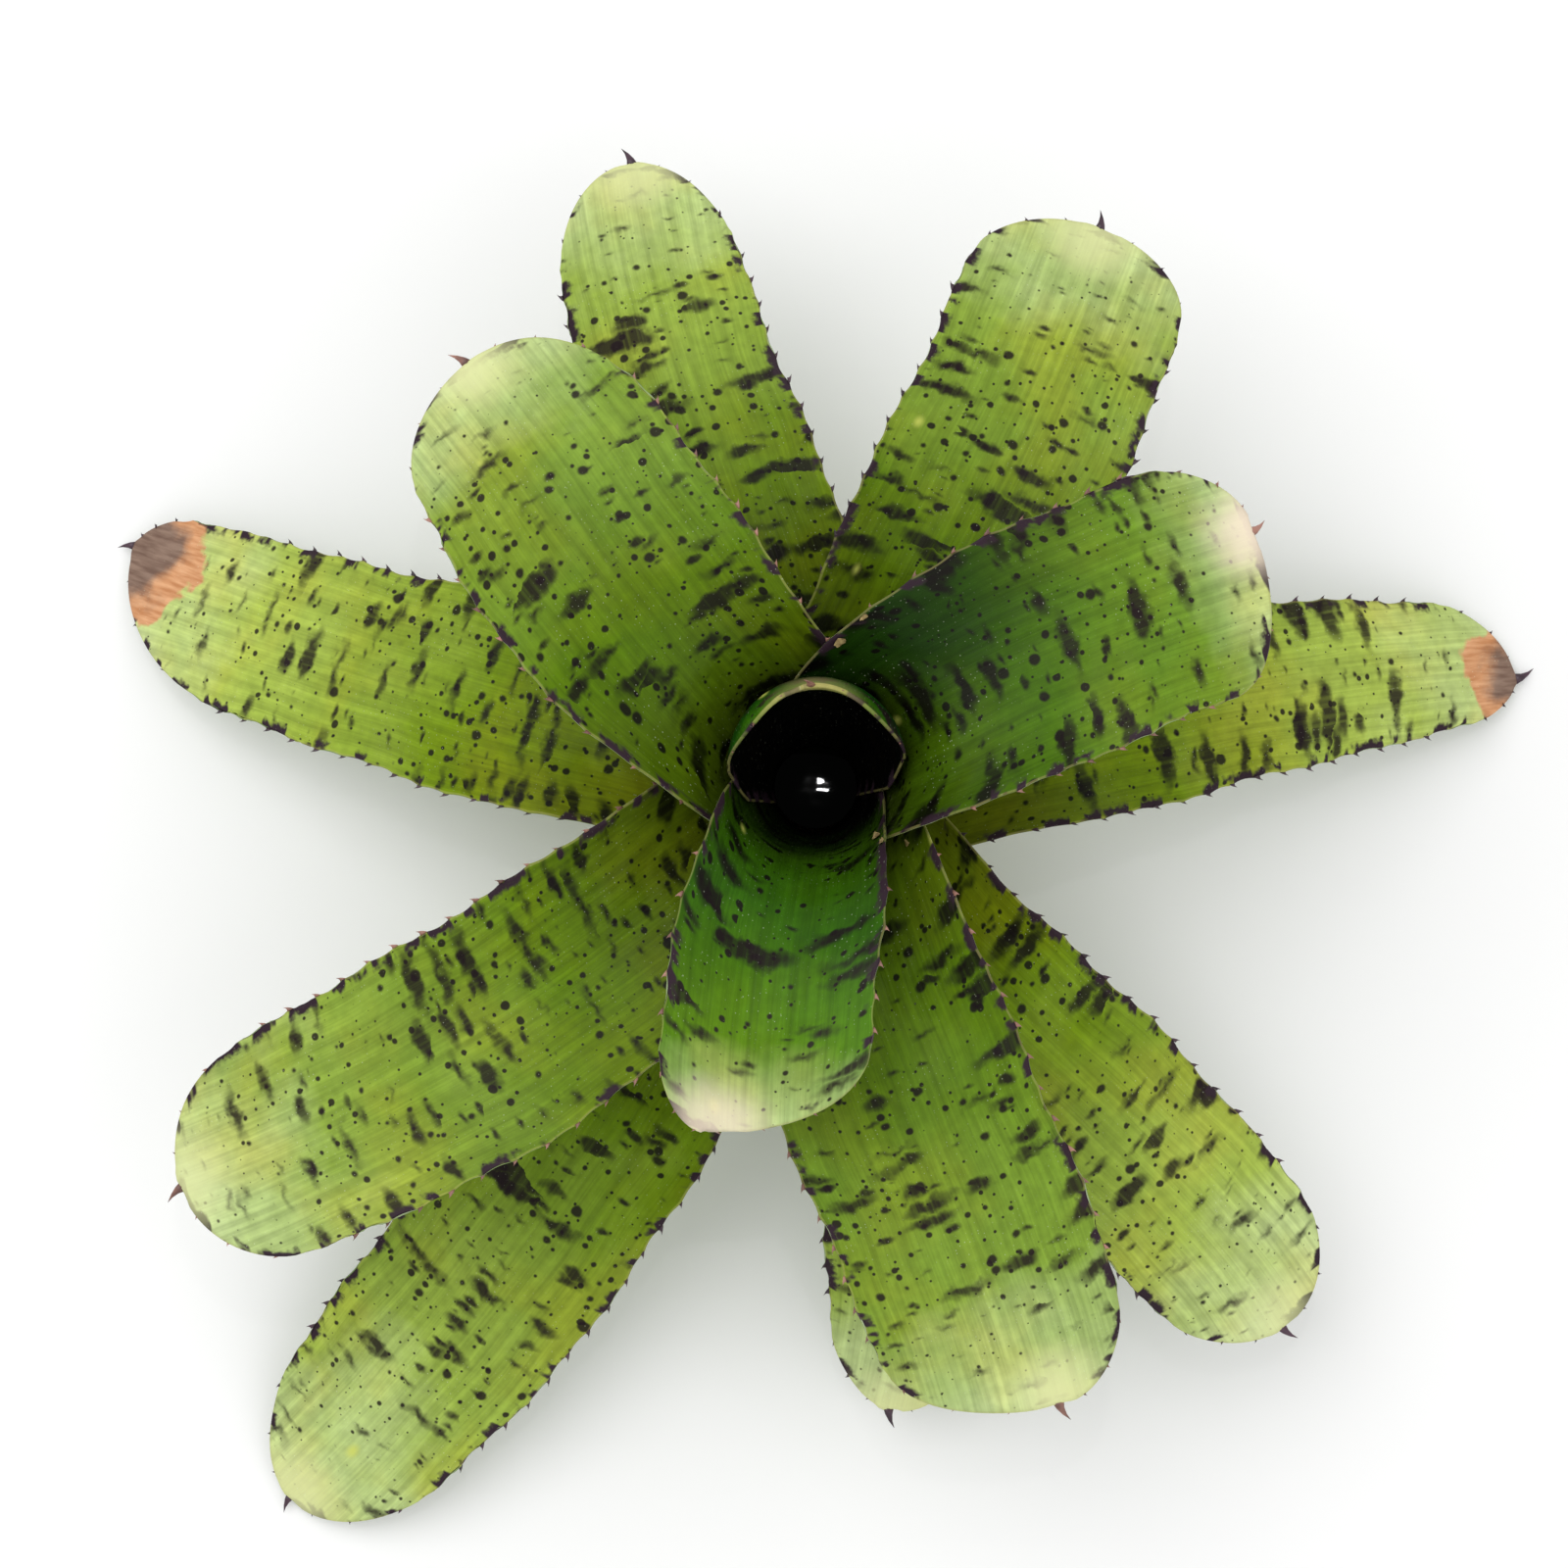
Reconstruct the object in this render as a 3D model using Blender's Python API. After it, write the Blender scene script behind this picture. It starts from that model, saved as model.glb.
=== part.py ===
# Neoregelia bromeliad: a rosette of thirteen spined leaves round a cup that holds water,
# standing on the flat cut of its short stem. Metres, +Z up, origin at the centre of the cut.

import math
from bisect import bisect_left
from typing import NamedTuple

import bpy
import bmesh
from mathutils import Vector

MM = 0.001
UP = Vector((0.0, 0.0, 1.0))

# Rosette: leaf bases wrap the stem one outside the other, the youngest highest and innermost.
LEAF_COUNT = 13
STUB_HEIGHT = 12.0 * MM
BASE_RISE = 3.6 * MM
LAYER_PITCH = 1.75 * MM
RIM_TOP = 108.0 * MM
RIM_STEP = 5.4 * MM

# Cup: radius of the innermost layer as a straight cone plus a gentle flare towards the rim.
CUP_START = -3.4 * MM
CUP_SLOPE = 0.2
CUP_FLARE = 3.5 * MM
FLARE_FROM = 56.0 * MM
FLARE_TO = 116.0 * MM
TOUCH_GAP = 0.3 * MM

# Leaf: thicknesses, and how a base that wraps the stem opens into a channelled blade.
BASE_THICKNESS = 0.7 * MM
BLADE_THICKNESS = 1.15 * MM
MARGIN_THICKNESS = 0.7 * MM
SHEATH_HALF_WIDTH = 40.0 * MM
WRAP_LIMIT = math.radians(105)
CHANNEL_RADIUS = 75.0 * MM
TIP_CHANNEL_RADIUS = 110.0 * MM
CHANNEL_SHARE = 0.45
ARCH_SHARE = 0.33
PROFILE_STEPS = 160
SLOPE_STEP = 0.5 * MM
ACROSS_STEP = 0.02

# Spines: along both edges and round the end, with one long spine at the apex.
SPINE_LENGTH = 2.0 * MM
SPINE_HALF_BASE = 1.4 * MM
SPINE_FOOT = 0.35 * MM
APEX_LENGTH = 6.5 * MM
APEX_HALF_BASE = 2.0 * MM
APEX_FOOT = 1.0 * MM
SPINE_SWEEP = 0.55

# Mesh: facets across a leaf, and along its base and its blade.
ACROSS = 9
SHEATH_ROWS = 4
BLADE_ROWS = 13
ROUND_SIDES = 24

# Stem and water: leaf scars on the bare stub, and the share of its width left at the stem's top.
SCAR_DEPTH = 0.6 * MM
SCAR_PITCH = 3.0 * MM
SCAR_COUNT = 3
STEM_TOP = 57.0 * MM
STEM_TOP_SHARE = 0.7
WATER_LEVEL = 72.0 * MM
WATER_FLOOR = 59.0 * MM
WATER_STEPS = 4

SHARP_ANGLE = math.radians(40)


class Leaf(NamedTuple):
    """One leaf. Layer 0 is the innermost. Angles are in degrees and lengths in millimetres.

    azimuths: bearing of the midrib at the cup's rim, halfway and at the apex, from +X
    reach, tip_height: distance from the axis and height of the blade's end
    tip_slope: fall of the midrib at its end; lift: how far it keeps rising past the rim
    half_widths: at the rim, halfway and at the shoulder where the end starts to round
    round_lengths: of the rounded end, clockwise and anticlockwise of its point
    apex: place of that point across the leaf, -1 to 1, anticlockwise positive
    """

    layer: int
    azimuths: tuple
    reach: float
    tip_height: float
    tip_slope: float
    lift: float
    half_widths: tuple
    round_lengths: tuple
    apex: float = 0.0
    opens_over: float = 45.0
    green: tuple = (0.20, 0.36, 0.05)


LEAVES = {
    "heart_leaf": Leaf(0, (95, 95, 95), 18, 134, -80, 14, (34, 32, 24), (26, 26), 0, 400),
    "leaf_02": Leaf(1, (254, 258, 261.5), 93, 126, 25, 30, (26, 26, 26.5), (24, 24), -0.45),
    "leaf_03": Leaf(2, (30.5, 27, 24.5), 125, 114, 20, 32, (31, 32, 30), (26, 26), 0.3),
    "leaf_04": Leaf(3, (145, 135, 131), 138, 108, 22, 32, (32, 34.5, 27), (30, 30), -0.05),
    "leaf_05": Leaf(4, (277, 286, 288), 170, 84, 22, 32, (30, 33, 31), (30, 30), 0.3),
    "leaf_06": Leaf(5, (225, 218.5, 212.5), 194, 76, 18, 30, (29, 31.5, 27), (32, 32), 0.0),
    "leaf_07": Leaf(6, (55, 59.5, 63), 166, 80, 18, 30, (29, 31, 29), (26, 26), 0.0),
    "leaf_08": Leaf(7, (105, 108, 106), 180, 54, 20, 30, (28, 27, 22), (38, 38), 0.0),
    "leaf_09": Leaf(8, (300, 310.5, 311.5), 188, 36, 20, 30, (27, 27.5, 24), (30, 30), 0.0),
    "leaf_10": Leaf(9, (166, 163, 161), 206, 3, 24, 30, (27, 27.5, 21), (18, 46), -0.5),
    "leaf_11": Leaf(10, (13.5, 14.5, 12.5), 201, 3, 22, 30, (27, 25, 15), (20, 26), -0.3),
    "leaf_12": Leaf(11, (285, 284, 277), 164, 18, 24, 30, (26, 24, 19), (28, 28), 0.0),
    "leaf_13": Leaf(12, (237, 236, 232.5), 236, 3, 20, 30, (26, 31, 24), (38, 38), 0.0),
}


def smooth(value):
    """Eases from 0 to 1 as value goes from 0 to 1."""
    value = min(1.0, max(0.0, value))
    return value * value * (3.0 - 2.0 * value)


def mix(low, high, share):
    return low + (high - low) * share


def through(values, share):
    """The parabola through three values at shares 0, a half and 1."""
    first, middle, last = values
    return (
        first * (1 - share) * (1 - 2 * share)
        + middle * 4 * share * (1 - share)
        + last * share * (2 * share - 1)
    )


def layer_radius(height, layer):
    """Radius of the middle of a wrapping leaf base at a height."""
    flare = CUP_FLARE * smooth((height - FLARE_FROM) / (FLARE_TO - FLARE_FROM))
    return CUP_START + CUP_SLOPE * height + flare + LAYER_PITCH * layer


def base_height(layer):
    return STUB_HEIGHT + BASE_RISE * (LEAF_COUNT - 1 - layer)


class Midrib:
    """The line along a leaf's middle, from its base on the stem to the end of its blade."""

    def __init__(self, leaf):
        self.leaf = leaf
        start = base_height(leaf.layer)
        rim = RIM_TOP - RIM_STEP * leaf.layer
        points = []
        for step in range(PROFILE_STEPS):
            height = mix(start, rim, step / PROFILE_STEPS)
            points.append(Vector((layer_radius(height, leaf.layer), height)))
        first = Vector((layer_radius(rim, leaf.layer), rim))
        rising = (first - points[-1]).normalized()
        fall = math.radians(leaf.tip_slope)
        last = Vector((leaf.reach, leaf.tip_height)) * MM
        span = (last - first).length
        leave = first + rising * leaf.lift * MM
        arrive = last - Vector((math.cos(fall), -math.sin(fall))) * span * ARCH_SHARE
        for step in range(PROFILE_STEPS + 1):
            t = step / PROFILE_STEPS
            near = first * (1 - t) ** 3 + leave * 3 * t * (1 - t) ** 2
            points.append(near + arrive * 3 * t * t * (1 - t) + last * t ** 3)
        self.points = points
        self.lengths = [0.0]
        for before, after in zip(points, points[1:]):
            self.lengths.append(self.lengths[-1] + (after - before).length)
        self.rim = self.lengths[PROFILE_STEPS]
        self.length = self.lengths[-1]

    def blade_share(self, along):
        return (along - self.rim) / (self.length - self.rim)

    def azimuth(self, along):
        share = min(1.0, max(0.0, self.blade_share(along)))
        return math.radians(through(self.leaf.azimuths, share))

    def radius_height(self, along):
        """Distance from the axis and height, running straight on past either end."""
        place = bisect_left(self.lengths, along)
        place = min(len(self.lengths) - 1, max(1, place))
        before, after = self.lengths[place - 1], self.lengths[place]
        share = (along - before) / (after - before)
        return self.points[place - 1].lerp(self.points[place], share)

    def point(self, along):
        radius, height = self.radius_height(along)
        angle = self.azimuth(along)
        return Vector((radius * math.cos(angle), radius * math.sin(angle), height))

    def half_width(self, along):
        share = self.blade_share(along)
        widths = self.leaf.half_widths
        if share >= 0:
            return through(widths, share) * MM
        radius = self.radius_height(along).x
        full = mix(widths[0] * MM, SHEATH_HALF_WIDTH, smooth(-along / self.rim + 1))
        return min(full, WRAP_LIMIT * radius)

    def end_at(self, across):
        """Length of the leaf at a place across it, -1 to 1: its end is round about the apex."""
        apex = self.leaf.apex
        side = 1 - apex if across > apex else 1 + apex
        off = min(1.0, abs(across - apex) / side)
        round_length = self.leaf.round_lengths[across > apex] * MM
        return self.length - round_length * (1 - math.sqrt(1 - off * off))


def surface_point(midrib, along, across):
    """A point of the leaf's middle surface. Across runs from -1 to 1, anticlockwise positive."""
    leaf = midrib.leaf
    radius, height = midrib.radius_height(along)
    angle = midrib.azimuth(along)
    offset = across * midrib.half_width(along)
    turned = angle + offset / radius
    wrapped = Vector((radius * math.cos(turned), radius * math.sin(turned), height))
    opened = smooth((along - midrib.rim) / (leaf.opens_over * MM))
    if opened == 0.0:
        return wrapped
    middle = midrib.point(along)
    forward = (midrib.point(along + SLOPE_STEP) - middle).normalized()
    sideways = UP.cross(forward).normalized()
    inward = forward.cross(sideways)
    share = midrib.blade_share(along)
    rim_radius = midrib.radius_height(midrib.rim).x
    bend = mix(1 / rim_radius, 1 / CHANNEL_RADIUS, smooth(share / CHANNEL_SHARE))
    bend = mix(bend, 1 / TIP_CHANNEL_RADIUS, smooth(share))
    lateral = math.sin(offset * bend) / bend
    raised = (1 - math.cos(offset * bend)) / bend
    channelled = middle + sideways * lateral + inward * raised
    return wrapped.lerp(channelled, opened)


def surface_normal(midrib, along, across):
    """Unit normal on the upper side, which faces the plant's axis low down and the sky further out."""
    lengthways = surface_point(midrib, along + SLOPE_STEP, across)
    lengthways -= surface_point(midrib, along - SLOPE_STEP, across)
    sideways = surface_point(midrib, along, across + ACROSS_STEP)
    sideways -= surface_point(midrib, along, across - ACROSS_STEP)
    return lengthways.cross(sideways).normalized()


def thickness(midrib, along, across):
    middle = mix(BASE_THICKNESS, BLADE_THICKNESS, smooth(2 * midrib.blade_share(along)))
    return mix(middle, MARGIN_THICKNESS, across * across)


def skins(midrib, along, across):
    """The points of the upper and lower faces over one place of the middle surface."""
    point = surface_point(midrib, along, across)
    half = surface_normal(midrib, along, across) * thickness(midrib, along, across) / 2
    return point + half, point - half


def across_places(midrib, share):
    """Places of the columns at a share of the blade: even at the rim, round the apex at the end."""
    apex = midrib.leaf.apex
    places = []
    for column in range(ACROSS + 1):
        even = 2 * column / ACROSS - 1
        turn = math.sin(even * math.pi / 2)
        crowded = apex + turn * (1 - apex if turn > 0 else 1 + apex)
        places.append(mix(even, crowded, smooth(share)))
    return places


def leaf_grid(midrib):
    """Rows of (upper, lower) points from the base to the end of a leaf."""
    rows = []
    for row in range(SHEATH_ROWS):
        along = midrib.rim * row / SHEATH_ROWS
        places = across_places(midrib, 0.0)
        rows.append([skins(midrib, along, place) for place in places])
    for row in range(BLADE_ROWS + 1):
        share = row / BLADE_ROWS
        places = across_places(midrib, share)
        ends = [midrib.end_at(place) for place in across_places(midrib, 1.0)]
        alongs = [mix(midrib.rim, end, share) for end in ends]
        rows.append([skins(midrib, s, t) for s, t in zip(alongs, places)])
    return rows


class LeafMesh:
    """Builds one closed leaf: two faces split into the same triangles, and a spined edge."""

    def __init__(self):
        self.mesh = bmesh.new()

    def pair(self, upper, lower):
        return self.mesh.verts.new(upper), self.mesh.verts.new(lower)

    def cell(self, corners):
        """Fans both faces of one cell from its first corner."""
        first = corners[0]
        for second, third in zip(corners[1:], corners[2:]):
            self.mesh.faces.new((first[0], second[0], third[0]))
            self.mesh.faces.new((third[1], second[1], first[1]))

    def edge(self, start, end):
        self.mesh.faces.new((start[0], end[0], end[1]))
        self.mesh.faces.new((start[0], end[1], start[1]))

    def spine(self, start, end, tip):
        point = self.mesh.verts.new(tip)
        loop = (start[0], end[0], end[1], start[1])
        for near, far in zip(loop, loop[1:] + loop[:1]):
            self.mesh.faces.new((near, far, point))


def middle_of(pair):
    return (pair[0].co + pair[1].co) / 2


def add_spine(build, start, end, inner, tipward, length, half_base, foot):
    """Sets a spine on the edge between two corner pairs. Returns the pairs at its foot."""
    run = middle_of(end) - middle_of(start)
    centre = middle_of(start) + run / 2
    run.normalize()
    outward = centre - inner
    outward -= run * outward.dot(run)
    outward.normalize()
    feet = []
    for corner, sign in ((start, -1), (end, 1)):
        place = centre + run * half_base * sign + outward * foot
        half = (start[0].co - start[1].co + end[0].co - end[1].co) / 4
        feet.append(build.pair(place + half, place - half))
    tip = centre + outward * (length + foot) + tipward * length * SPINE_SWEEP
    build.spine(feet[0], feet[1], tip)
    return feet


def leaf_mesh(leaf):
    """The mesh of one leaf, with spines on the free edges of its blade."""
    midrib = Midrib(leaf)
    build = LeafMesh()
    rows = [[build.pair(*skin) for skin in row] for row in leaf_grid(midrib)]
    last = len(rows) - 1
    first_spined = SHEATH_ROWS + 1
    for row in range(last):
        for column in range(ACROSS):
            near, far = rows[row], rows[row + 1]
            left, right = [], []
            inner = middle_of(near[ACROSS // 2])
            if column == 0 and first_spined <= row:
                along = (middle_of(far[0]) - middle_of(near[0])).normalized()
                left = add_spine(build, near[0], far[0], middle_of(near[1]), along,
                                 SPINE_LENGTH, SPINE_HALF_BASE, SPINE_FOOT)
            if column == ACROSS - 1 and first_spined <= row:
                along = (middle_of(far[-1]) - middle_of(near[-1])).normalized()
                right = add_spine(build, near[-1], far[-1], middle_of(near[-2]), along,
                                  SPINE_LENGTH, SPINE_HALF_BASE, SPINE_FOOT)
            top = []
            if row == last - 1 and column == ACROSS // 2:
                top = add_spine(build, far[column], far[column + 1], inner, Vector(),
                                APEX_LENGTH, APEX_HALF_BASE, APEX_FOOT)
            if row == last - 1 and 0 < abs(column - ACROSS // 2) < 3:
                top = add_spine(build, far[column], far[column + 1], inner, Vector(),
                                SPINE_LENGTH, SPINE_HALF_BASE, SPINE_FOOT)
            round_cell = [near[column], near[column + 1]] + right
            round_cell += [far[column + 1]] + top[::-1] + [far[column]] + left[::-1]
            if column == 0:
                round_cell = round_cell[1:] + round_cell[:1]
            build.cell(round_cell)
            for side, ends in ((left, (near[0], far[0])), (right, (near[-1], far[-1])),
                               (top, (far[column], far[column + 1]))):
                if side:
                    build.edge(ends[0], side[0])
                    build.edge(side[1], ends[1])
            if column == 0 and not left:
                build.edge(near[0], far[0])
            if column == ACROSS - 1 and not right:
                build.edge(near[-1], far[-1])
            if row == last - 1 and not top:
                build.edge(far[column], far[column + 1])
            if row == 0:
                build.edge(near[column], near[column + 1])
    bmesh.ops.recalc_face_normals(build.mesh, faces=build.mesh.faces)
    return build.mesh


def turned_mesh(profile):
    """A closed solid turned about the axis from (radius, height) pairs, flat at both ends."""
    mesh = bmesh.new()
    rings = []
    for radius, height in profile:
        ring = []
        for side in range(ROUND_SIDES):
            angle = math.tau * side / ROUND_SIDES
            ring.append(mesh.verts.new((radius * math.cos(angle), radius * math.sin(angle), height)))
        rings.append(ring)
    for low, high in zip(rings, rings[1:]):
        for side in range(ROUND_SIDES):
            after = (side + 1) % ROUND_SIDES
            mesh.faces.new((low[side], low[after], high[after], high[side]))
    mesh.faces.new(rings[0])
    mesh.faces.new(rings[-1])
    bmesh.ops.recalc_face_normals(mesh, faces=mesh.faces)
    return mesh


def inside_base(middle_radius):
    """Radius that fits inside a wrapping leaf base: its flat facets cut in between their edges."""
    inner_face = middle_radius - BASE_THICKNESS / 2
    return inner_face * math.cos(WRAP_LIMIT / ACROSS) - TOUCH_GAP


def stem_radius(height):
    """The cone that the leaf bases clasp, one touching gap inside the lowest edge of each."""
    layer = LEAF_COUNT - 1 - (height - STUB_HEIGHT) / BASE_RISE
    return inside_base(CUP_START + CUP_SLOPE * height + LAYER_PITCH * layer)


def stem_mesh():
    """The stem: a flat cut foot, rings of old leaf scars on the bare stub, and a blunt cone."""
    foot = stem_radius(STUB_HEIGHT)
    profile = [(foot - SCAR_DEPTH, 0.0)]
    for ring in range(SCAR_COUNT):
        base = (ring + 0.5) * SCAR_PITCH
        profile.append((foot, base))
        profile.append((foot - SCAR_DEPTH, base + SCAR_PITCH / 2))
    profile.append((foot, STUB_HEIGHT))
    top_base = base_height(0)
    profile.append((stem_radius(top_base), top_base))
    profile.append((stem_radius(top_base) * STEM_TOP_SHARE, STEM_TOP))
    return turned_mesh(profile)


def water_mesh():
    """The water in the cup, inside the heart leaf, with a flat surface."""
    profile = []
    for step in range(WATER_STEPS + 1):
        height = mix(WATER_FLOOR, WATER_LEVEL, step / WATER_STEPS)
        profile.append((inside_base(layer_radius(height, 0)), height))
    return turned_mesh(profile)


def plain_material(name, colour, roughness):
    material = bpy.data.materials.new(name)
    material.use_nodes = True
    shader = material.node_tree.nodes["Principled BSDF"]
    shader.inputs["Base Color"].default_value = (*colour, 1.0)
    shader.inputs["Roughness"].default_value = roughness
    shader.inputs["Metallic"].default_value = 0.0
    material.diffuse_color = (*colour, 1.0)
    return material


def add_object(name, mesh, material):
    data = bpy.data.meshes.new(name)
    mesh.to_mesh(data)
    mesh.free()
    data.shade_smooth()
    data.set_sharp_from_angle(angle=SHARP_ANGLE)
    data.materials.append(material)
    made = bpy.data.objects.new(name, data)
    bpy.context.scene.collection.objects.link(made)
    return made


def main():
    for old in list(bpy.data.objects):
        bpy.data.objects.remove(old, do_unlink=True)
    for name, leaf in LEAVES.items():
        add_object(name, leaf_mesh(leaf), plain_material(name, leaf.green, 0.45))
    add_object("stem", stem_mesh(), plain_material("stem", (0.25, 0.17, 0.09), 0.8))
    add_object("tank_water", water_mesh(), plain_material("tank_water", (0.02, 0.03, 0.01), 0.05))


main()
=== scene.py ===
# Neoregelia bromeliad: fine leaves, spines, stem and water in place of the plain solids, with a
# pale floor, soft studio light and a camera that looks down on the rosette.

import math
from bisect import bisect_left
from random import Random
from typing import NamedTuple

import bpy
import numpy as np
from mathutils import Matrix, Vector


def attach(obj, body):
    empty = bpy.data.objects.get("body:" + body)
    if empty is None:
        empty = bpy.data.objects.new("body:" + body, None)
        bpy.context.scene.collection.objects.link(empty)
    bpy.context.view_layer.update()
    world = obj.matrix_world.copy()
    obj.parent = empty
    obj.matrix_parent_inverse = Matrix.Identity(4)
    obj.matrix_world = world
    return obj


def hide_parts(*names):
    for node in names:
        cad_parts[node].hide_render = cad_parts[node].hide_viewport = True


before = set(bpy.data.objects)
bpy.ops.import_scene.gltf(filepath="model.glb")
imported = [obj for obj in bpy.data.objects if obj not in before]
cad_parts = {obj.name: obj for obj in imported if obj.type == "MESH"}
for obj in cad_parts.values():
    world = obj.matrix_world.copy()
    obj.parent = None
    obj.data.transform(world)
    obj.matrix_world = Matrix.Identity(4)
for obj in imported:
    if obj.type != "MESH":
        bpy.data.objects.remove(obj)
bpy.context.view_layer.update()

MM = 0.001
UP = Vector((0.0, 0.0, 1.0))

# Rosette: the same layers and cup as the solids, so each fine leaf lies where its solid does.
LEAF_COUNT = 13
STUB_HEIGHT = 12.0 * MM
BASE_RISE = 3.6 * MM
LAYER_PITCH = 1.75 * MM
RIM_TOP = 108.0 * MM
RIM_STEP = 5.4 * MM
CUP_START = -3.4 * MM
CUP_SLOPE = 0.2
CUP_FLARE = 3.5 * MM
FLARE_FROM = 56.0 * MM
FLARE_TO = 116.0 * MM

# Midrib: its arch, and the steps that measure it.
ARCH_SHARE = 0.33
PROFILE_STEPS = 160
SLOPE_STEP = 0.5 * MM
ACROSS_STEP = 0.02

# Cross-section of a leaf: its thickness, and the bend of its channel.
BASE_THICKNESS = 0.7 * MM
BLADE_THICKNESS = 1.15 * MM
MARGIN_THICKNESS = 0.7 * MM
FULL_THICKNESS_BY = 1 / 2
SHEATH_HALF_WIDTH = 40.0 * MM
WRAP_LIMIT = math.radians(105)
CHANNEL_RADIUS = 75.0 * MM
TIP_CHANNEL_RADIUS = 110.0 * MM
CHANNEL_SHARE = 0.45

# Small cleft in the rolled rim of the heart leaf.
NOTCH_AT = 0.2
NOTCH_WIDTH = 0.06
NOTCH_DEPTH = 3.5 * MM

# Fine mesh of a leaf, and how far its rounded edge stands out, in half thicknesses.
COLUMNS = 44
SHEATH_ROWS = 14
BLADE_ROWS = 116
EDGE_BULGE = 0.8

# Unevenness of a leaf: ripples, edges that stray, and scallops between the spines, which reach
# a share of the half width inwards. The turns set two leaves or two edges apart, in radians.
RIPPLE_DEPTH = 0.9 * MM
RIPPLE_PITCH = 31.0 * MM
RIPPLE_TURN = 1.7
EDGE_WAVE = 0.5 * MM
EDGE_WAVE_PITCHES = (83.0 * MM, 37.0 * MM)
EDGE_WAVE_TURN = 2.3
OTHER_EDGE_TURN = 2.0
SCALLOP_DEPTH = 0.6 * MM
SCALLOP_REACH = 0.07

# Spines: along the edges, round the end at these turns in degrees, and one at the apex. Each
# size is a scale of half base, thickness and length.
SPINE_PITCH = 8.4 * MM
SPINE_LENGTH = 1.5 * MM
SPINE_HALF_BASE = 1.05 * MM
SPINE_THICKNESS = 0.4 * MM
EDGE_SIZE = (1.0, 1.0, 1.0)
END_SIZE = (0.7, 0.8, 0.7)
APEX_SIZE = (1.5, 1.8, 4.3)
END_SPINE_TURNS = (-65, -40, -18, 18, 40, 65)
FIRST_SPINE = 2
SPINE_SIDES = 8
SPINE_RINGS = 3
SPINE_TIP_SHARE = 0.02
SPINE_SUNK = 0.1
SPINE_SHRINK = 0.25
SPINE_SEED = 7

# Scraps of dry sheath, each a ring of corners round a middle.
SCRAP_CORNERS = 11
SCRAP_LIFT = 0.75 * MM
SCRAP_HALF_SKIN = 0.12 * MM
SCRAP_WIDTH = 0.55
SCRAP_RAGGED = (0.45, 1.0)
SCRAP_CURL = 0.8
SCRAP_SHARP = math.radians(35)
SCRAP_SEED = 11

# Stem and water, which keep clear of the flat facets across the innermost sheath of the solids.
TURNED_SIDES = 96
SHEATH_FACETS = 9
TOUCH_GAP = 0.3 * MM
STEM_TOP = 57.0 * MM
STEM_TOP_SHARE = 0.7
STUB_STEPS = 48
STEM_STEPS = 8
SCAR_DEPTH = 0.6 * MM
SCAR_PITCH = 3.0 * MM
STEM_ROUGHNESS = 0.02
STEM_SHARP = math.radians(60)
STEM_SEED = 3
WATER_LEVEL = 72.0 * MM
WATER_FLOOR = 59.0 * MM
WATER_STEPS = 10
WATER_RINGS = (0.98, 0.6, 0.3)
WATER_SHARP = math.radians(40)

# Sizes of the patterns on a leaf, in mm.
PATCH_MM = 28.0
YELLOW_MM = 36.0
STREAK_MM = 2.4
VEIN_MM = 0.7
MOTTLE_MM = 3.3
CROWD_MM = 20.0
FRAY_MM = 1.7
EDGE_PATCH_MM = 6.0
RAGGED_MM = 2.0
SWELL_MM = 22.0
WOBBLE_MM = 4.5
# Size of the patches in which the silver scales carry a painted glint.
SCALE_GLINT_MM = 17.0
DRY_EDGE_MM = 11.0
FIBRE_MM = 1.4
BAND_MM = 8.0

# Steps that set the patterns of two leaves apart, in mm across and along.
PATTERN_SHIFT = (137.0, 61.0)
# How far the ends of a bar lie nearer the base than its middle, in mm, on leaf_02 and the rest.
YOUNG_BOW = 11.0
GROWN_BOW = 4.0

# Sizes of the patterns on the other materials.
HORN_TONE = 6.0 * MM
BARK_FIBRE = 0.9 * MM
SHEATH_FLECK = 1.1 * MM
WATER_SWELL = 7.7 * MM

# Skin: where its greens start, in blade lengths from the rim, how streaks are drawn out along
# the leaf, what turns a green yellower, and the colours and strength of its marks.
SKIN_START = -0.25
DRAWN_OUT = (1.0, 0.03, 1.0)
YELLOWING = (1.2, 1.02, 0.8)
# Painted shade, laid on a leaf's anticlockwise half near the cup where a neighbour leaf shades it.
PAINTED_SHADE_GREEN = "#042303"
INNER_INK = "#060503"
OUTER_INK = "#201418"
MARK_STRENGTH = 0.94
SMALLEST_MARK = 0.4
SCAR_COLOUR = "#c9d061"
SCAR_STRENGTH = 0.8
EDGE_LINE = "#b7b06c"
EDGE_PATCH = "#31232c"
SCALE_SILVER = "#e4ecd0"

# Studio.
FLOOR_HALF = 8.0
FLOOR_GAP = 0.2 * MM
SKY_STRENGTH = 0.8
CAMERA_TILT = math.radians(7.0)
CAMERA_TARGET = Vector((-8.3, 2.4, 60.0)) * MM
CAMERA_DISTANCE = 1.04
CAMERA_SENSOR = 36.0
CAMERA_LENS = 90.0

# Kinds of node, and settings that many of them share.
MATH = "ShaderNodeMath"
VECTOR = "ShaderNodeVectorMath"
RANGE = "ShaderNodeMapRange"
NOISE = "ShaderNodeTexNoise"
RAMP = "ShaderNodeValToRGB"
MIX = "ShaderNodeMix"
SPLIT = "ShaderNodeSeparateXYZ"
UV_MAP = "ShaderNodeUVMap"
BUMP = "ShaderNodeBump"
PLACE = "ShaderNodeTexCoord"
EASED = {"interpolation_type": "SMOOTHSTEP"}
COLOURS = {"data_type": "RGBA"}
TIMES = {"operation": "MULTIPLY"}
TIMES_PLUS = {"operation": "MULTIPLY_ADD"}


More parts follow.
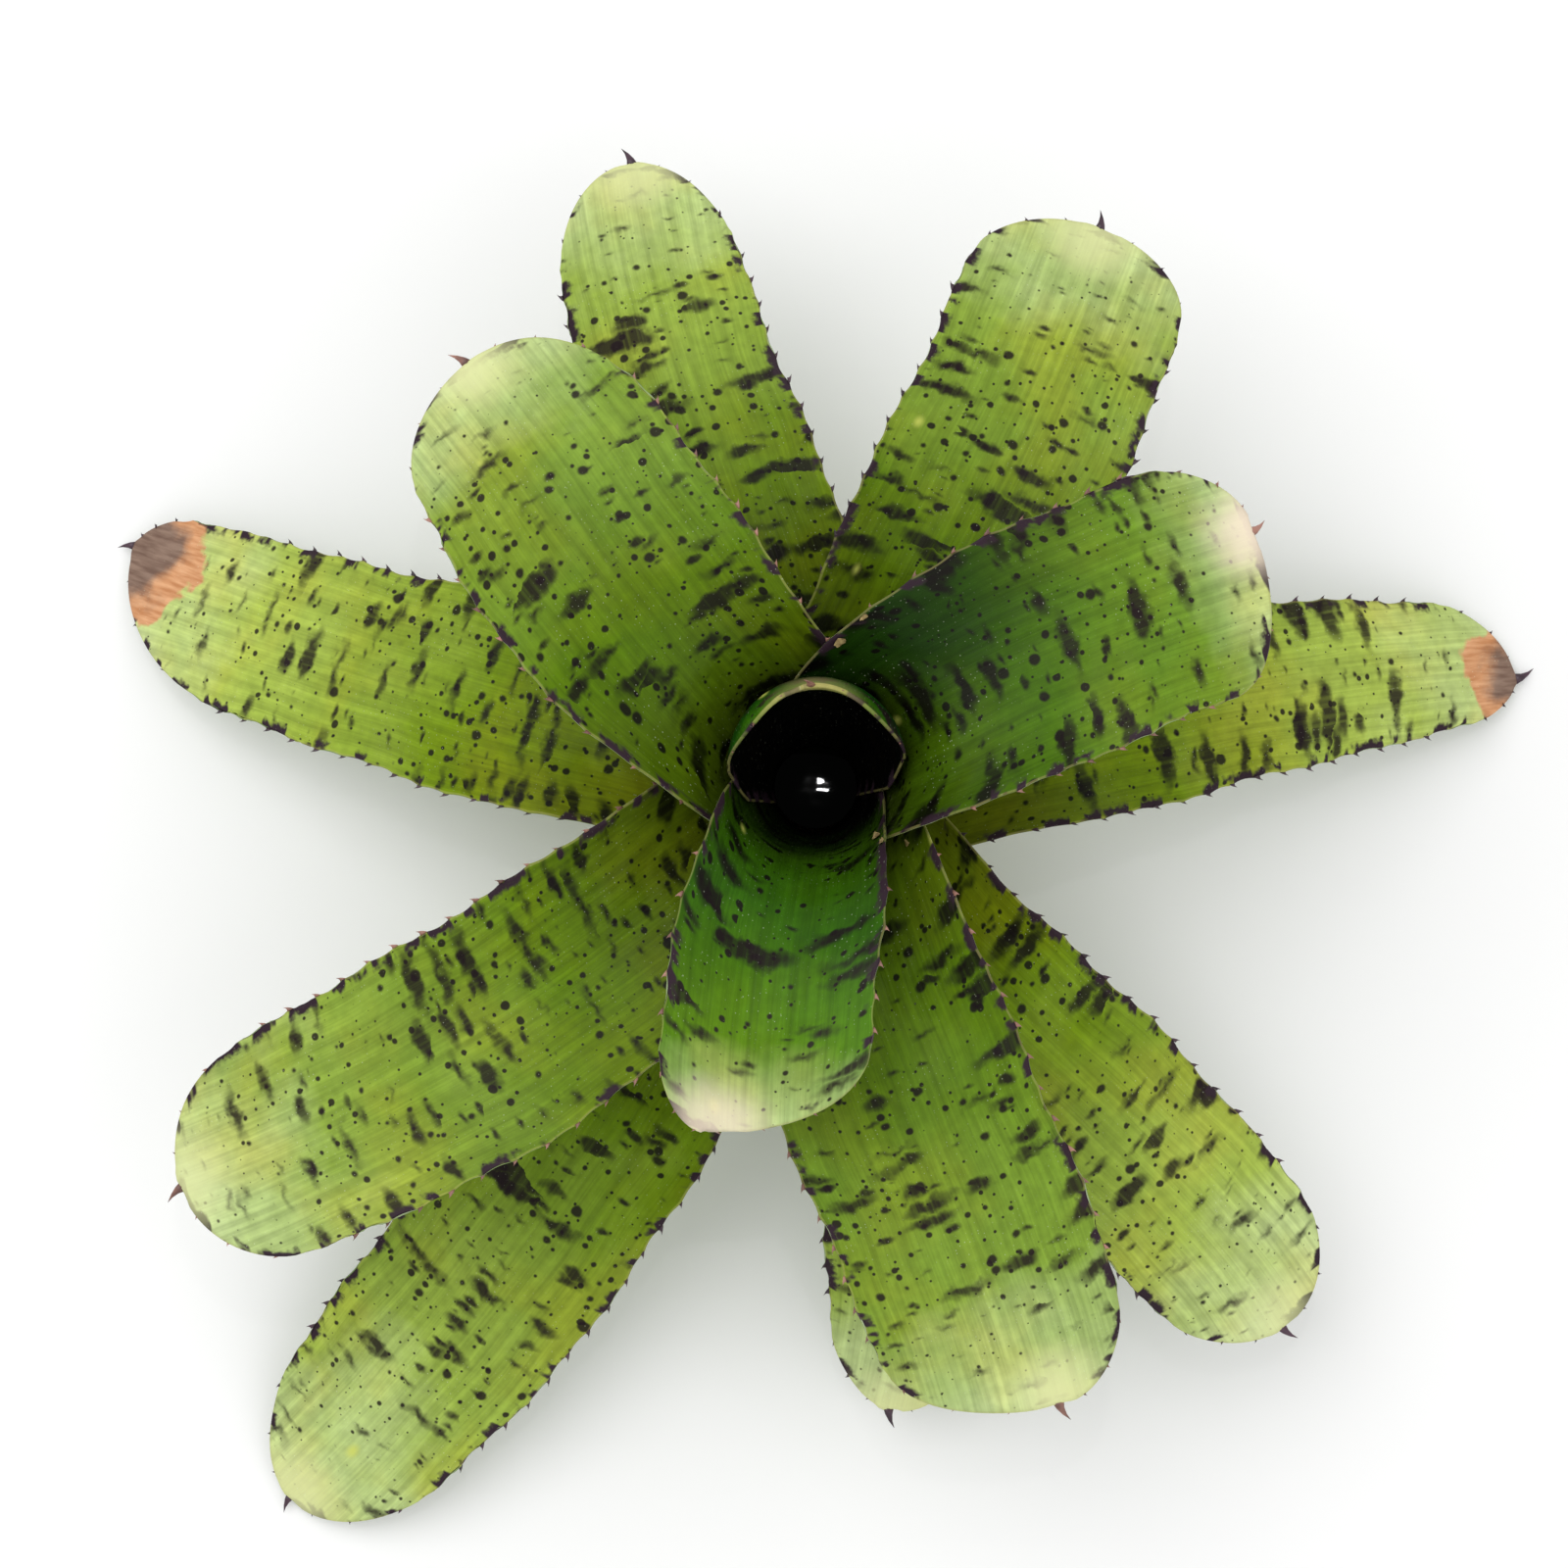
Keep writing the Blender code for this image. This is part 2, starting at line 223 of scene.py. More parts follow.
class Leaf(NamedTuple):
    """One leaf: layer, bearings at rim, middle and apex, reach, tip height and fall, lift,
    half widths at rim, middle and shoulder, lengths of the round end clockwise and
    anticlockwise of its point, place of that point across the leaf."""

    layer: int
    azimuths: tuple
    reach: float
    tip_height: float
    tip_slope: float
    lift: float
    half_widths: tuple
    round_lengths: tuple
    apex: float = 0.0
    opens_over: float = 45.0


LEAVES = {
    "heart_leaf": Leaf(0, (95, 95, 95), 18, 134, -80, 14, (34, 32, 24), (26, 26), 0, 400),
    "leaf_02": Leaf(1, (254, 258, 261.5), 93, 126, 25, 30, (26, 26, 26.5), (24, 24), -0.45),
    "leaf_03": Leaf(2, (30.5, 27, 24.5), 125, 114, 20, 32, (31, 32, 30), (26, 26), 0.3),
    "leaf_04": Leaf(3, (145, 135, 131), 138, 108, 22, 32, (32, 34.5, 27), (30, 30), -0.05),
    "leaf_05": Leaf(4, (277, 286, 288), 170, 84, 22, 32, (30, 33, 31), (30, 30), 0.3),
    "leaf_06": Leaf(5, (225, 218.5, 212.5), 194, 76, 18, 30, (29, 31.5, 27), (32, 32), 0.0),
    "leaf_07": Leaf(6, (55, 59.5, 63), 166, 80, 18, 30, (29, 31, 29), (26, 26), 0.0),
    "leaf_08": Leaf(7, (105, 108, 106), 180, 54, 20, 30, (28, 27, 22), (38, 38), 0.0),
    "leaf_09": Leaf(8, (300, 310.5, 311.5), 188, 36, 20, 30, (27, 27.5, 24), (30, 30), 0.0),
    "leaf_10": Leaf(9, (166, 163, 161), 206, 3, 24, 30, (27, 27.5, 21), (18, 46), -0.5),
    "leaf_11": Leaf(10, (13.5, 14.5, 12.5), 201, 3, 22, 30, (27, 25, 15), (20, 26), -0.3),
    "leaf_12": Leaf(11, (285, 284, 277), 164, 18, 24, 30, (26, 24, 19), (28, 28), 0.0),
    "leaf_13": Leaf(12, (237, 236, 232.5), 236, 3, 20, 30, (26, 31, 24), (38, 38), 0.0),
}


def smooth(value):
    """Eases from 0 to 1 as value goes from 0 to 1."""
    value = min(1.0, max(0.0, value))
    return value * value * (3.0 - 2.0 * value)


def mix(low, high, share):
    """The value that lies a share of the way from low to high."""
    return low + (high - low) * share


def through(values, share):
    """The parabola through three values at shares 0, a half and 1."""
    first, middle, last = values
    return (
        first * (1 - share) * (1 - 2 * share)
        + middle * 4 * share * (1 - share)
        + last * share * (2 * share - 1)
    )


def layer_radius(height, layer):
    """Distance from the axis to the middle of a layer's sheath."""
    flare = CUP_FLARE * smooth((height - FLARE_FROM) / (FLARE_TO - FLARE_FROM))
    return CUP_START + CUP_SLOPE * height + flare + LAYER_PITCH * layer


def base_height(layer):
    """Height at which a layer's leaf grows from the stem."""
    return STUB_HEIGHT + BASE_RISE * (LEAF_COUNT - 1 - layer)


class Midrib:
    """The line along a leaf's middle, from its base on the stem to the end of its blade."""

    def __init__(self, leaf):
        self.leaf = leaf
        start = base_height(leaf.layer)
        rim = RIM_TOP - RIM_STEP * leaf.layer
        points = []
        for step in range(PROFILE_STEPS):
            height = mix(start, rim, step / PROFILE_STEPS)
            points.append(Vector((layer_radius(height, leaf.layer), height)))
        first = Vector((layer_radius(rim, leaf.layer), rim))
        rising = (first - points[-1]).normalized()
        fall = math.radians(leaf.tip_slope)
        last = Vector((leaf.reach, leaf.tip_height)) * MM
        leave = first + rising * leaf.lift * MM
        arriving = Vector((math.cos(fall), -math.sin(fall)))
        arrive = last - arriving * (last - first).length * ARCH_SHARE
        for step in range(PROFILE_STEPS + 1):
            t = step / PROFILE_STEPS
            near = first * (1 - t) ** 3 + leave * 3 * t * (1 - t) ** 2
            points.append(near + arrive * 3 * t * t * (1 - t) + last * t ** 3)
        self.points = points
        self.lengths = [0.0]
        for before, after in zip(points, points[1:]):
            self.lengths.append(self.lengths[-1] + (after - before).length)
        self.rim = self.lengths[PROFILE_STEPS]
        self.length = self.lengths[-1]

    def blade_share(self, along):
        return (along - self.rim) / (self.length - self.rim)

    def azimuth(self, along):
        share = min(1.0, max(0.0, self.blade_share(along)))
        return math.radians(through(self.leaf.azimuths, share))

    def radius_height(self, along):
        place = min(len(self.lengths) - 1, max(1, bisect_left(self.lengths, along)))
        before, after = self.lengths[place - 1], self.lengths[place]
        share = (along - before) / (after - before)
        return self.points[place - 1].lerp(self.points[place], share)

    def point(self, along):
        radius, height = self.radius_height(along)
        angle = self.azimuth(along)
        return Vector((radius * math.cos(angle), radius * math.sin(angle), height))

    def half_width(self, along):
        """Half the leaf's width. A sheath narrows so that it doesn't wrap too far round."""
        share = self.blade_share(along)
        widths = self.leaf.half_widths
        if share >= 0:
            return through(widths, share) * MM
        radius = self.radius_height(along).x
        full = mix(widths[0] * MM, SHEATH_HALF_WIDTH, smooth(-along / self.rim + 1))
        return min(full, WRAP_LIMIT * radius)

    def end_at(self, across):
        """Distance along the midrib at which the round end cuts off this place across."""
        apex = self.leaf.apex
        side = 1 - apex if across > apex else 1 + apex
        off = min(1.0, abs(across - apex) / side)
        round_length = self.leaf.round_lengths[across > apex] * MM
        end = self.length - round_length * (1 - math.sqrt(1 - off * off))
        if self.leaf.layer == 0:
            end -= NOTCH_DEPTH * math.exp(-((across - NOTCH_AT) / NOTCH_WIDTH) ** 2)
        return end


def surface_point(midrib, along, across, ripple=0.0):
    """A point of the leaf's middle surface. Across runs from -1 to 1, anticlockwise positive."""
    leaf = midrib.leaf
    radius, height = midrib.radius_height(along)
    angle = midrib.azimuth(along)
    offset = across * midrib.half_width(along)
    turned = angle + offset / radius
    wrapped = Vector((radius * math.cos(turned), radius * math.sin(turned), height))
    opened = smooth((along - midrib.rim) / (leaf.opens_over * MM))
    if opened == 0.0:
        return wrapped
    middle = midrib.point(along)
    forward = (midrib.point(along + SLOPE_STEP) - middle).normalized()
    sideways = UP.cross(forward).normalized()
    inward = forward.cross(sideways)
    share = midrib.blade_share(along)
    rim_radius = midrib.radius_height(midrib.rim).x
    bend = mix(1 / rim_radius, 1 / CHANNEL_RADIUS, smooth(share / CHANNEL_SHARE))
    bend = mix(bend, 1 / TIP_CHANNEL_RADIUS, smooth(share))
    lateral = math.sin(offset * bend) / bend
    raised = (1 - math.cos(offset * bend)) / bend
    raised += ripple * opened * across * across
    channelled = middle + sideways * lateral + inward * raised
    return wrapped.lerp(channelled, opened)


def across_places(midrib, share):
    """Places of the mesh's columns, even at the rim and crowded to the edges at the end."""
    apex = midrib.leaf.apex
    places = []
    for column in range(COLUMNS + 1):
        even = 2 * column / COLUMNS - 1
        turn = math.sin(even * math.pi / 2)
        crowded = apex + turn * (1 - apex if turn > 0 else 1 + apex)
        places.append(mix(even, crowded, smooth(share)))
    return places


def scallop(along):
    """How far the edge draws in between two spines."""
    phase = (along / SPINE_PITCH) % 1.0
    return SCALLOP_DEPTH * math.sin(math.pi * phase)


def edge_wave(midrib, along, across):
    """How far an edge strays inwards and outwards as it runs along the blade."""
    share = midrib.blade_share(along)
    if share <= 0:
        return 0.0
    side = OTHER_EDGE_TURN if across > 0 else 0.0
    value = sum(math.sin(along / pitch * math.tau + midrib.leaf.layer * EDGE_WAVE_TURN + side)
                for pitch in EDGE_WAVE_PITCHES)
    # The wave grows over the first quarter of the blade and dies out over the last third.
    return value * EDGE_WAVE * smooth(4 * share) * smooth(3 - 3 * share)


def leaf_rows(midrib):
    """The (along, across) pairs of every row of the fine mesh, from the base to the end."""
    rows = []
    for row in range(SHEATH_ROWS):
        along = midrib.rim * row / SHEATH_ROWS
        rows.append([(along, place) for place in across_places(midrib, 0.0)])
    ends = [midrib.end_at(place) for place in across_places(midrib, 1.0)]
    for row in range(BLADE_ROWS + 1):
        share = row / BLADE_ROWS
        places = across_places(midrib, share)
        rows.append([(mix(midrib.rim, end, share), t) for end, t in zip(ends, places)])
    return rows


def leaf_surface(midrib, rows):
    """Middle points of the grid, with ripples along the edges and scallops between spines."""
    points = np.empty((len(rows), COLUMNS + 1, 3))
    phase = midrib.leaf.layer * RIPPLE_TURN
    for i, row in enumerate(rows):
        for j, (along, across) in enumerate(row):
            wave = math.sin(along / RIPPLE_PITCH * math.tau + phase + across)
            edge = smooth((abs(across) - 1 + SCALLOP_REACH) / SCALLOP_REACH)
            edge *= smooth(3 * midrib.blade_share(along))
            width = midrib.half_width(along)
            stray = edge * scallop(along) + edge_wave(midrib, along, across)
            drawn = across * (1 - stray / width)
            points[i, j] = surface_point(midrib, along, drawn, wave * RIPPLE_DEPTH)
    return points


def unit(vectors):
    return vectors / np.maximum(np.linalg.norm(vectors, axis=-1, keepdims=True), 1e-12)


def leaf_thickness(midrib, rows):
    """Thickness at every grid point, thinner at the base and towards the edges."""
    values = np.empty((len(rows), COLUMNS + 1, 1))
    for i, row in enumerate(rows):
        for j, (along, across) in enumerate(row):
            share = smooth(midrib.blade_share(along) / FULL_THICKNESS_BY)
            middle = mix(BASE_THICKNESS, BLADE_THICKNESS, share)
            values[i, j] = mix(middle, MARGIN_THICKNESS, across * across)
    return values


def edge_loop(row_count):
    """Grid places round the leaf's outline: up the clockwise edge, round the end and back."""
    last_row, last_column = row_count - 1, COLUMNS
    loop = [(i, 0) for i in range(row_count)]
    loop += [(last_row, j) for j in range(1, last_column + 1)]
    loop += [(i, last_column) for i in range(last_row - 1, -1, -1)]
    loop += [(0, j) for j in range(last_column - 1, 0, -1)]
    return loop


def new_object(name, verts, faces, materials):
    data = bpy.data.meshes.new(name)
    data.from_pydata([tuple(v) for v in verts], [], faces)
    for material in materials:
        data.materials.append(material)
    data.shade_smooth()
    made = bpy.data.objects.new(name, data)
    bpy.context.scene.collection.objects.link(made)
    return made


def write_map(data, name, values):
    """Stores one pair of numbers a vertex as a UV map."""
    layer = data.uv_layers.new(name=name)
    corners = np.empty(len(data.loops), dtype=np.int32)
    data.loops.foreach_get("vertex_index", corners)
    layer.uv.foreach_set("vector", values[corners].astype(np.float32).ravel())


def rounded_edge(middle, half, loop):
    """Points just outside the leaf's outline, which round its edge."""
    last_row, last_column = middle.shape[0] - 1, COLUMNS
    points = []
    for i, j in loop:
        inner_i = min(max(i, 1), last_row - 1)
        inner_j = j if inner_i != i else min(max(j, 1), last_column - 1)
        outward = unit(middle[i, j] - middle[inner_i, inner_j])
        points.append(middle[i, j] + outward * np.linalg.norm(half[i, j]) * EDGE_BULGE)
    return np.array(points)


def leaf_maps(midrib, rows):
    """Three pairs of numbers a grid point: its place in the pattern in mm, its place across
    and along the blade, and its distances from the edge and from the apex in mm."""
    leaf = midrib.leaf
    pairs = np.array([pair for row in rows for pair in row])
    alongs, across = pairs[:, 0], pairs[:, 1]
    widths = np.array([midrib.half_width(along) for along in alongs.tolist()])
    shares = np.array([midrib.blade_share(along) for along in alongs.tolist()])
    ends = np.array([midrib.end_at(place) for place in across.tolist()])
    shift = leaf.layer + 1
    bow = YOUNG_BOW if leaf.layer == 1 else GROWN_BOW
    sideways = across * widths / MM + PATTERN_SHIFT[0] * shift
    lengthways = alongs / MM + bow * across ** 2 + PATTERN_SHIFT[1] * shift
    margin = np.minimum((1 - np.abs(across)) * widths, np.maximum(ends - alongs, 0)) / MM
    apex = np.hypot((across - leaf.apex) * widths, midrib.length - alongs) / MM
    return {
        "pattern_mm": np.stack([sideways, lengthways], 1),
        "place": np.stack([across, shares], 1),
        "border_mm": np.stack([margin, apex], 1),
    }


def make_leaf(name, leaf, materials):
    """One fine leaf: an upper face, a lower face and a rounded edge between them."""
    midrib = Midrib(leaf)
    rows = leaf_rows(midrib)
    middle = leaf_surface(midrib, rows)
    across_grid = np.cross(np.gradient(middle, axis=0), np.gradient(middle, axis=1))
    half = unit(across_grid) * leaf_thickness(midrib, rows) / 2
    loop = edge_loop(len(rows))
    upper, lower = (middle + half).reshape(-1, 3), (middle - half).reshape(-1, 3)
    verts = np.concatenate([upper, lower, rounded_edge(middle, half, loop)])
    width, count, total = COLUMNS + 1, len(upper), len(loop)
    faces, slots = [], []
    for i in range(len(rows) - 1):
        for j in range(COLUMNS):
            a, b = i * width + j, i * width + j + 1
            c, d = b + width, a + width
            faces.append((a, d, c, b))
            faces.append((a + count, b + count, c + count, d + count))
            slots += [0, 1]
    places = [i * width + j for i, j in loop]
    for step in range(total):
        after = (step + 1) % total
        a, b = places[step], places[after]
        e, f = 2 * count + step, 2 * count + after
        faces.append((a, e, f, b))
        faces.append((e, a + count, b + count, f))
        slots += [0, 1]
    made = new_object(name, verts, faces, materials)
    made.data.polygons.foreach_set("material_index", slots)
    for map_name, values in leaf_maps(midrib, rows).items():
        write_map(made.data, map_name, np.concatenate([values, values, values[places]]))
    return made, midrib


def linear(code):
    """An sRGB hex colour as linear RGBA."""
    channels = [int(code[i:i + 2], 16) / 255 for i in (1, 3, 5)]
    return (*[c / 12.92 if c <= 0.04045 else ((c + 0.055) / 1.055) ** 2.4 for c in channels], 1.0)


def add(tree, kind, inputs, stops=(), **settings):
    """Adds a node, sets its properties and colour stops, and links or sets its inputs.
    A node given as an input stands for its first output."""
    node = tree.nodes.new(kind)
    for key, value in settings.items():
        setattr(node, key, value)
    for key, value in inputs.items() if isinstance(inputs, dict) else enumerate(inputs):
        if isinstance(value, bpy.types.Node):
            value = value.outputs[0]
        if isinstance(value, bpy.types.NodeSocket):
            tree.links.new(value, node.inputs[key])
        else:
            node.inputs[key].default_value = value
    if stops:
        elements = node.color_ramp.elements
        while len(elements) < len(stops):
            elements.new(0.5)
        for element, (place, code) in zip(elements, stops):
            element.position = place
            element.color = linear(code)
    return node


def new_material(name):
    material = bpy.data.materials.new(name)
    material.use_nodes = True
    tree = material.node_tree
    return material, tree, tree.nodes["Principled BSDF"]


class Marks(NamedTuple):
    """Marks scattered one to a cell: the cell across and along the leaf in mm, the largest
    radius in cells, the share of cells left empty, how far the outline strays in mm, and how
    soft the edge is in cells."""

    cell: tuple
    reach: float
    empty: float
    wobble: float
    soft: float


BARS = [
    Marks((30.0, 7.6), 0.46, 0.38, 6.0, 0.22),
    Marks((17.0, 6.4), 0.42, 0.56, 4.5, 0.22),
    Marks((9.0, 4.0), 0.36, 0.74, 3.0, 0.22),
]
SPOTS = [
    Marks((10.0, 9.0), 0.19, 0.5, 1.6, 0.07),
    Marks((5.6, 5.2), 0.23, 0.52, 1.0, 0.07),
    Marks((3.3, 3.2), 0.2, 0.74, 0.6, 0.07),
]
BITE_SCARS = Marks((38.0, 52.0), 0.06, 0.72, 0.0, 0.05)
SCALES = Marks((1.4, 1.4), 0.13, 0.6, 0.0, 0.1)
UNDERSIDE_SPOTS = Marks((6.0, 9.0), 0.28, 0.5, 1.5, 0.07)


def marks(tree, pattern, look, strength=1.0):
    """Scattered marks, one to a cell across and along the leaf, as a share from 0 to 1."""
    noise = add(tree, NOISE, {"Vector": pattern, "Scale": 1 / WOBBLE_MM, "Detail": 3.0})
    centred = add(tree, VECTOR, [noise.outputs["Color"], (0.5, 0.5, 0.5)], operation="SUBTRACT")
    wobble = (look.wobble, look.wobble, 0.0)
    moved = add(tree, VECTOR, [centred, wobble, pattern], **TIMES_PLUS)
    per_mm = (1 / look.cell[0], 1 / look.cell[1], 0.0)
    cells = add(tree, VECTOR, [moved, per_mm], **TIMES)
    spots = add(tree, "ShaderNodeTexVoronoi", {"Vector": cells, "Scale": 1.0},
                voronoi_dimensions="2D")
    draw = add(tree, "ShaderNodeSeparateColor", [spots.outputs["Color"]])
    radius = add(tree, RANGE, [draw, look.empty, 1.0, look.reach * SMALLEST_MARK, look.reach])
    radius = add(tree, MATH, [radius, strength], **TIMES)
    # Empty cells get a negative radius.
    present = add(tree, MATH, [draw, look.empty], operation="GREATER_THAN")
    missing = add(tree, MATH, [present, 1.0], operation="SUBTRACT")
    radius = add(tree, MATH, [radius, present, missing], **TIMES_PLUS)
    inside = add(tree, MATH, [radius, spots.outputs["Distance"]], operation="SUBTRACT")
    return add(tree, RANGE, [inside, -look.soft * 0.2, look.soft], **EASED)


# Greens from the base of a leaf to its end. A leaf's own green lies between young and old.
# The near black at the base of the young and heart greens is painted shade of the deep cup,
# laid over the leaf's deeper green there.
YOUNG_GREENS_CUP_SHADED = [(0.0, "#030303"), (0.2, "#284404"), (0.5, "#2c5804"), (0.8, "#4c780c"),
                (1.0, "#b0c480")]
OLD_GREENS = [(0.0, "#302c08"), (0.2, "#505008"), (0.5, "#708c08"), (0.8, "#a4b850"),
              (1.0, "#bccc90")]
# The heart leaf's greens paint the cup's own shade nearly to its rim.
HEART_GREENS_CUP_SHADED = [(0.0, "#030303"), (0.3, "#030603"), (0.6, "#0c3c04"), (0.85, "#386808"),
                (1.0, "#8c8c48")]
CREAM_BLUSH = "#f0e0c8"
GREEN_BLUSH = "#d8dca0"
RIM_BLUSH = "#b8b070"


class Skin(NamedTuple):
    """A leaf's age from 0 to 1, the tint of its apex and its strength, how far from the apex
    the leaf has dried up, in mm, how much painted shade its anticlockwise half has near the
    cup, where a neighbour leaf shades it, and the greens that it has at age 0."""

    age: float
    blush: str
    blush_share: float
    dry_reach: float = 0.0
    painted_shade_half: float = 0.0
    greens: list = YOUNG_GREENS_CUP_SHADED


SKINS = {
    "heart_leaf_skin": Skin(0.0, RIM_BLUSH, 0.4, greens=HEART_GREENS_CUP_SHADED),
    "second_leaf_skin": Skin(0.0, CREAM_BLUSH, 0.7),
    "inner_leaf_skin": Skin(0.2, CREAM_BLUSH, 0.9, painted_shade_half=0.85),
    "middle_leaf_skin": Skin(0.4, GREEN_BLUSH, 0.9),
    "grown_leaf_skin": Skin(0.55, GREEN_BLUSH, 0.75),
    "old_leaf_skin": Skin(0.7, GREEN_BLUSH, 0.7),
    "pale_leaf_skin": Skin(0.9, GREEN_BLUSH, 0.7),
    "withered_leaf_skin": Skin(1.0, GREEN_BLUSH, 0.2, dry_reach=24.0),
    "scorched_leaf_skin": Skin(1.0, GREEN_BLUSH, 0.2, dry_reach=17.0),
}


def leaf_green(tree, patchy, across, along, skin):
    """The green of a leaf from base to end, strayed by light and dark areas, with painted shade
    on its anticlockwise half near the cup where the skin has it.
    """
    share = add(tree, RANGE, [along, SKIN_START, 1.0])
    stray = add(tree, MATH, [patchy, 0.3, -0.15], **TIMES_PLUS)
    share = add(tree, MATH, [share, stray], operation="ADD")
    young = add(tree, RAMP, [share], skin.greens)
    old = add(tree, RAMP, [share], OLD_GREENS)
    colour = add(tree, MIX, {0: skin.age, 6: young, 7: old}, **COLOURS).outputs[2]
    if not skin.painted_shade_half:
        return colour
    # Painted shade: the anticlockwise half near the cup darkens to the shade green, where a
    # neighbour leaf shades it.
    half = add(tree, MATH, [patchy, 0.8, across], **TIMES_PLUS)
    half = add(tree, RANGE, [half, 0.1, 0.9], **EASED)
    near_cup = add(tree, RANGE, [along, 0.75, 0.2, 0.0, skin.painted_shade_half], **EASED)
    shade_paint = add(tree, MATH, [half, near_cup], **TIMES)
    return add(tree, MIX, {0: shade_paint, 6: colour, 7: linear(PAINTED_SHADE_GREEN)}, **COLOURS).outputs[2]


def uneven_green(tree, pattern, drawn, veins, colour):
    """A green with yellower areas, in which streaks, veins and a fine mottle change the value."""
    yellower = add(tree, VECTOR, [colour, YELLOWING], **TIMES)
    areas = add(tree, NOISE, {"Vector": pattern, "Scale": 1 / YELLOW_MM, "Detail": 3.0})
    areas = add(tree, RANGE, [areas, 0.42, 0.68], **EASED)
    colour = add(tree, MIX, {0: areas, 6: colour, 7: yellower}, **COLOURS).outputs[2]
    streaks = add(tree, NOISE, {"Vector": drawn, "Scale": 1 / STREAK_MM, "Detail": 3.0})
    streaks = add(tree, RANGE, [streaks, 0.3, 0.7, 0.84, 1.14], **EASED)
    shaded = add(tree, RANGE, [veins, 0.35, 0.65, 0.94, 1.06], **EASED)
    mottle = add(tree, NOISE, {"Vector": pattern, "Scale": 1 / MOTTLE_MM, "Detail": 4.0})
    mottle = add(tree, RANGE, [mottle, 0.3, 0.7, 0.92, 1.08], **EASED)
    value = add(tree, MATH, [streaks, shaded], **TIMES)
    value = add(tree, MATH, [value, mottle], **TIMES)
    return add(tree, "ShaderNodeHueSaturation", {"Color": colour, "Value": value}).outputs[0]


def dark_marks(tree, pattern, drawn, along, colour):
    """Bars and spots, which crowd together in places, shrink towards the end of the leaf and
    are near black by the cup. The bars are frayed lengthwise."""
    crowd = add(tree, NOISE, {"Vector": pattern, "Scale": 1 / CROWD_MM, "Detail": 2.0})
    crowd = add(tree, RANGE, [crowd, 0.36, 0.58, 0.55, 1.1], **EASED)
    shrink = add(tree, RANGE, [along, 0.6, 1.0, 1.0, 0.45], **EASED)
    crowd = add(tree, MATH, [crowd, shrink], **TIMES)
    frayed = add(tree, NOISE, {"Vector": drawn, "Scale": 1 / FRAY_MM, "Detail": 2.0})
    frayed = add(tree, RANGE, [frayed, 0.3, 0.55, 0.8, 1.0], **EASED)
    outer = add(tree, RANGE, [along, 0.0, 0.8], **EASED)
    inks = {0: outer, 6: linear(INNER_INK), 7: linear(OUTER_INK)}
    ink = add(tree, MIX, inks, **COLOURS).outputs[2]
    for look, wear in [(bar, frayed) for bar in BARS] + [(spot, 1.0) for spot in SPOTS]:
        mask = add(tree, MATH, [marks(tree, pattern, look, crowd), wear], **TIMES)
        mask = add(tree, MATH, [mask, MARK_STRENGTH], **TIMES)
        colour = add(tree, MIX, {0: mask, 6: colour, 7: ink}, **COLOURS).outputs[2]
    return colour


def edge_colours(tree, pattern, edge_mm, colour):
    """A thin pale line along the leaf's edge, and dark patches with ragged inner sides on it."""
    line = add(tree, RANGE, [edge_mm, 0.5, 0.1, 0.0, 0.28], **EASED)
    colour = add(tree, MIX, {0: line, 6: colour, 7: linear(EDGE_LINE)}, **COLOURS).outputs[2]
    widened = add(tree, VECTOR, [pattern, (0.35, 1.0, 1.0)], **TIMES)
    patches = add(tree, NOISE, {"Vector": widened, "Scale": 1 / EDGE_PATCH_MM, "Detail": 2.0})
    patches = add(tree, RANGE, [patches, 0.5, 0.56], **EASED)
    ragged = add(tree, NOISE, {"Vector": pattern, "Scale": 1 / RAGGED_MM, "Detail": 2.0})
    ragged = add(tree, MATH, [ragged, 4.0, edge_mm], **TIMES_PLUS)
    near_edge = add(tree, RANGE, [ragged, 5.4, 3.4], **EASED)
    patches = add(tree, MATH, [patches, near_edge], **TIMES)
    return add(tree, MIX, {0: patches, 6: colour, 7: linear(EDGE_PATCH)}, **COLOURS).outputs[2]


def dry_end(tree, pattern, apex_mm, colour, reach_mm):
    """A withered end: papery grey brown with a peach border, out to reach_mm from the apex."""
    ragged = add(tree, NOISE, {"Vector": pattern, "Scale": 1 / DRY_EDGE_MM, "Detail": 5.0})
    ragged = add(tree, MATH, [ragged, 22.0, -11.0], **TIMES_PLUS)
    reach = add(tree, MATH, [ragged, apex_mm], operation="ADD")
    drawn = add(tree, VECTOR, [pattern, (1.0, 0.15, 1.0)], **TIMES)
    fibre = add(tree, NOISE, {"Vector": drawn, "Scale": 1 / FIBRE_MM, "Detail": 3.0})
    peach = add(tree, RAMP, [fibre], [(0.35, "#bd8257"), (0.65, "#dda77c")])
    papery = add(tree, RAMP, [fibre], [(0.35, "#6f574b"), (0.65, "#8f7768")])
    for start, full, dry in ((0.0, 2.0, peach), (4.0, 12.0, papery)):
        share = add(tree, RANGE, [reach, reach_mm - start, reach_mm - full], **EASED)
        colour = add(tree, MIX, {0: share, 6: colour, 7: dry}, **COLOURS).outputs[2]
    return colour
